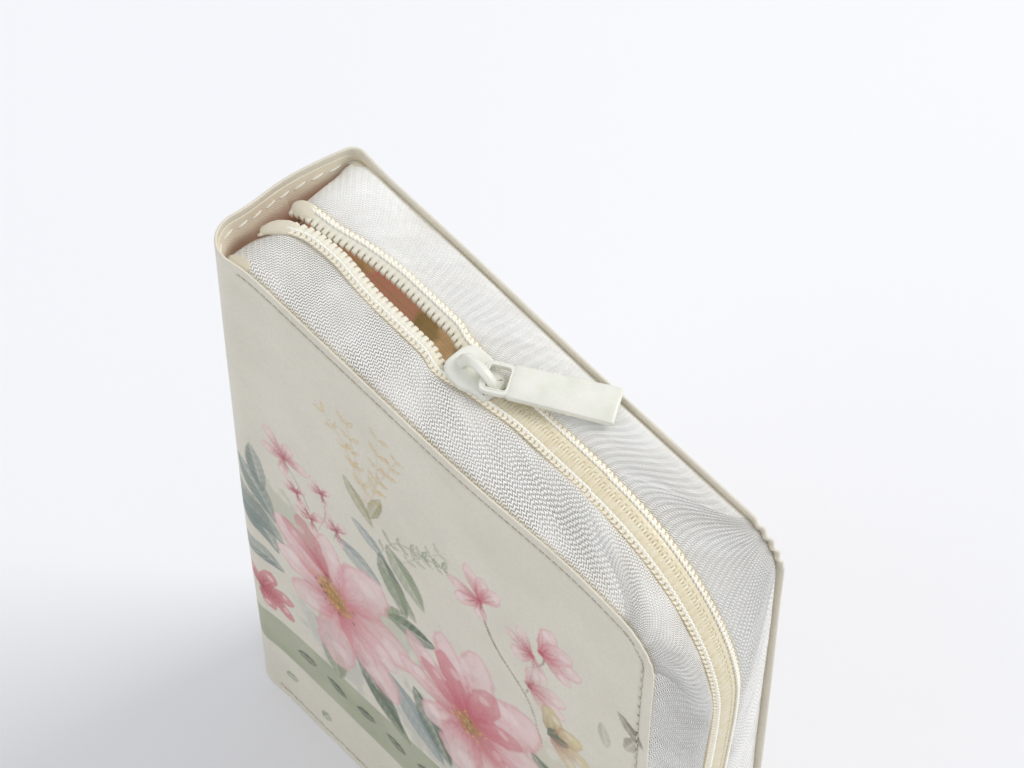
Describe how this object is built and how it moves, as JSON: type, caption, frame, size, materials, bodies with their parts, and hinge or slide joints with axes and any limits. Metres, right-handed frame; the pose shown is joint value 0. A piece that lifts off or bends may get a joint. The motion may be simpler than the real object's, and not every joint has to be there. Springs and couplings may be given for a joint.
{
  "type": "zip-round prayer book",
  "caption": "Hardcase devotional book in a printed leatherette zip-round cover with a woven gusset, coil zip, slider and flat pull; covers, leaves, slider and pull move.",
  "frame": {"origin": "middle of the footprint, on the surface that the closed book stands on by its tail edge", "axes": "+Z from tail to head, +X from spine to fore-edge, +Y from front cover to back cover"},
  "size_m": [0.1542, 0.0426, 0.221],
  "materials": {
    "cover_leatherette": "printed leatherette, fine grain, semi-matt",
    "lining": "plain cream leatherette, matt",
    "greyboard": "raw bookbinding board",
    "thread": "twisted polyester thread",
    "zip_tape": "satin herringbone woven polyester",
    "zip_coil": "moulded nylon coil",
    "slider_paint": "smooth off-white enamel",
    "page_paper": "thin book paper with tinted edges",
    "flyleaf_paper": "heavier uncoated paper",
    "band_cloth": "woven cotton"
  },
  "bodies": {
    "root": {"spine_skin": "cover_leatherette", "spine_stiffener": "greyboard", "spine_lining": "lining", "spine_head_stitching": "thread", "spine_tail_stitching": "thread", "spine_cloth": "band_cloth", "head_band": "band_cloth", "tail_band": "band_cloth", "front_section_folds": "page_paper", "back_section_folds": "page_paper", "page_section_3": "page_paper", "page_section_4": "page_paper", "page_section_5": "page_paper", "page_section_6": "page_paper"},
    "front_leaves": {"page_section_1": "page_paper", "page_section_2": "page_paper"},
    "back_leaves": {"page_section_7": "page_paper", "page_section_8": "page_paper"},
    "front_flyleaf": {"front_flyleaf": "flyleaf_paper"},
    "back_flyleaf": {"back_flyleaf": "flyleaf_paper"},
    "front_cover": {"front_cover_skin": "cover_leatherette", "front_cover_board": "greyboard", "front_cover_lining": "lining", "front_cover_stitching": "thread", "front_zip_tape": "zip_tape", "front_zip_coil": "zip_coil", "front_coil_thread": "thread", "front_zip_end_tabs": "band_cloth"},
    "back_cover": {"back_cover_skin": "cover_leatherette", "back_cover_board": "greyboard", "back_cover_lining": "lining", "back_cover_stitching": "thread", "back_zip_tape": "zip_tape", "back_zip_coil": "zip_coil", "back_coil_thread": "thread", "back_zip_end_tabs": "band_cloth"},
    "slider": {"slider_body": "slider_paint", "slider_crown": "slider_paint"},
    "pull": {"pull_tab": "slider_paint"}
  },
  "joints": [
    {"name": "front_cover_hinge", "type": "hinge", "parent": "root", "child": "front_cover", "pos_m": [-0.0688, -0.021, 0.108], "axis": [0, 0, -1], "range_deg": [0, 170], "deforming": ["front_zip_coil", "front_coil_thread"]},
    {"name": "back_cover_hinge", "type": "hinge", "parent": "root", "child": "back_cover", "pos_m": [-0.0703, 0.021, 0.108], "axis": [0, 0, 1], "range_deg": [0, 170]},
    {"name": "front_leaves_turn", "type": "hinge", "parent": "root", "child": "front_leaves", "pos_m": [-0.0641, -0.0176, 0.108], "axis": [0, 0, -1], "range_deg": [0, 60]},
    {"name": "back_leaves_turn", "type": "hinge", "parent": "root", "child": "back_leaves", "pos_m": [-0.0641, 0.0176, 0.108], "axis": [0, 0, 1], "range_deg": [0, 60]},
    {"name": "front_flyleaf_turn", "type": "hinge", "parent": "root", "child": "front_flyleaf", "pos_m": [-0.0641, -0.01815, 0.108], "axis": [0, 0, -1], "range_deg": [0, 110]},
    {"name": "back_flyleaf_turn", "type": "hinge", "parent": "root", "child": "back_flyleaf", "pos_m": [-0.0641, 0.01815, 0.108], "axis": [0, 0, 1], "range_deg": [0, 110]},
    {"name": "slider_travel", "type": "slide", "parent": "back_cover", "child": "slider", "axis": [1, 0, 0], "range_m": [-0.05, 0.034], "deforming": ["back_zip_coil", "back_coil_thread"]},
    {"name": "pull_flip", "type": "hinge", "parent": "slider", "child": "pull", "pos_m": [-0.0051, 0, 0.21805], "axis": [0.5299, -0.848, 0], "range_deg": [0, 125]}
  ],
  "couplings": [
    {"joint": "front_leaves_turn", "follows": "front_cover_hinge", "ratio": 0.3},
    {"joint": "front_flyleaf_turn", "follows": "front_cover_hinge", "ratio": 0.6},
    {"joint": "back_leaves_turn", "follows": "back_cover_hinge", "ratio": 0.3},
    {"joint": "back_flyleaf_turn", "follows": "back_cover_hinge", "ratio": 0.6}
  ]
}
